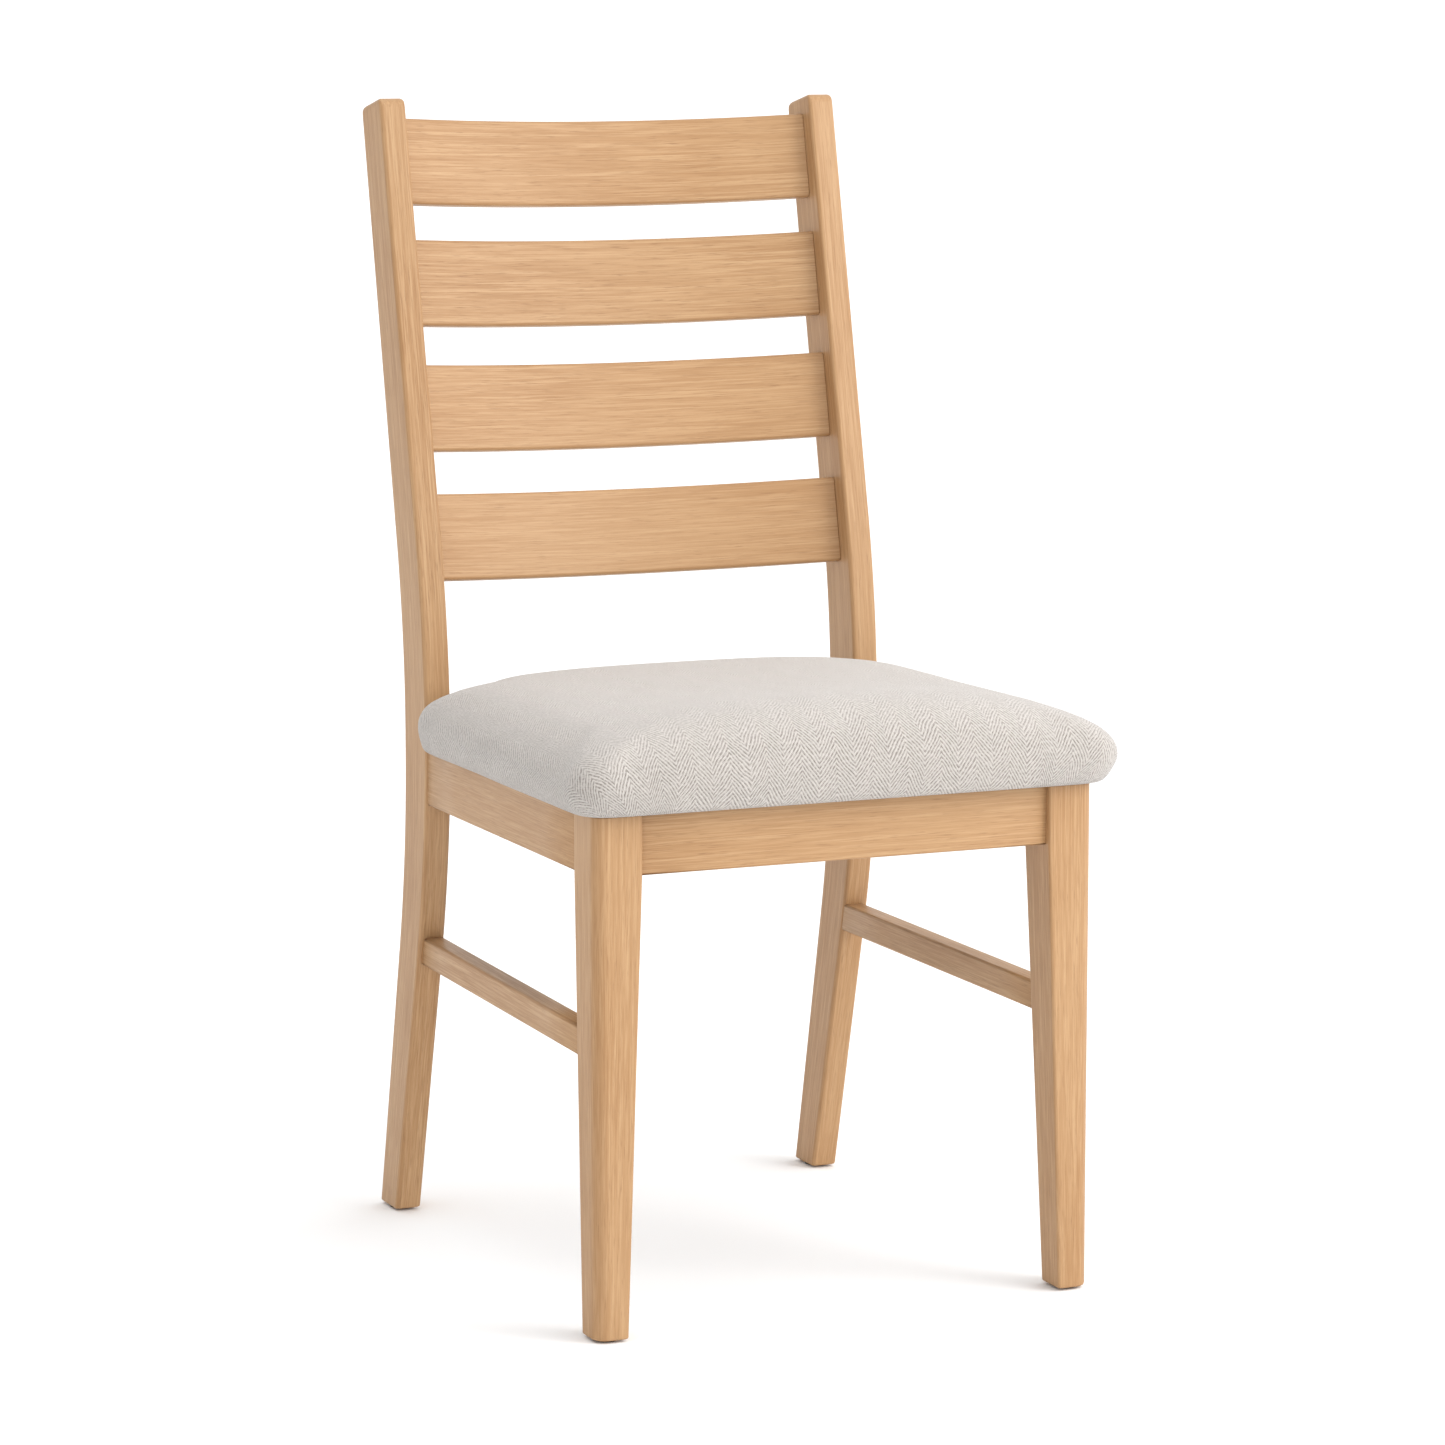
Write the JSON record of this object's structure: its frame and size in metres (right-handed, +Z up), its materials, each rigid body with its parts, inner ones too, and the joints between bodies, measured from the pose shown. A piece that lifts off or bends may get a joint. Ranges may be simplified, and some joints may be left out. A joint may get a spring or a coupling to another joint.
{
  "type": "dining chair",
  "caption": "Ladder-back dining chair: oak frame with splayed rear legs that run up as leaning posts, curved slats, tapered front legs, side stretchers and an upholstered seat pad.",
  "frame": {"origin": "centre of the footprint on the floor", "axes": "+X is to the right as seen from in front, +Y to the back, +Z up; left and right in node names are also as seen from in front"},
  "size_m": [0.475, 0.5524, 0.95],
  "materials": {
    "oak": "satin clear lacquer",
    "hardwood": "planed, unfinished",
    "plywood": "raw plywood",
    "seat_fabric": "coarse herringbone weave, matt",
    "padding": "soft foam and wadding",
    "liner": "thin non-woven cloth",
    "glide": "matt nylon",
    "steel": "zinc plated"
  },
  "bodies": {
    "root": {"front_leg_left": "oak", "front_leg_right": "oak", "back_post_left": "oak", "back_post_right": "oak", "back_slat_1": "oak", "back_slat_2": "oak", "back_slat_3": "oak", "back_slat_4": "oak", "front_apron": "oak", "rear_apron": "oak", "side_apron_left": "oak", "side_apron_right": "oak", "side_stretcher_left": "oak", "side_stretcher_right": "oak", "front_apron_dowels": "hardwood", "rear_apron_dowels": "hardwood", "side_apron_dowels": "hardwood", "corner_block_front_left": "hardwood", "corner_block_front_right": "hardwood", "corner_block_rear_left": "hardwood", "corner_block_rear_right": "hardwood", "corner_block_screws": "steel", "seat_screws": "steel", "seat_board": "plywood", "seat_foam": "padding", "seat_wadding": "padding", "seat_cover": "seat_fabric", "dust_cover": "liner", "seat_staples": "steel", "foot_glides": "glide", "glide_nails": "steel"}
  },
  "joints": []
}
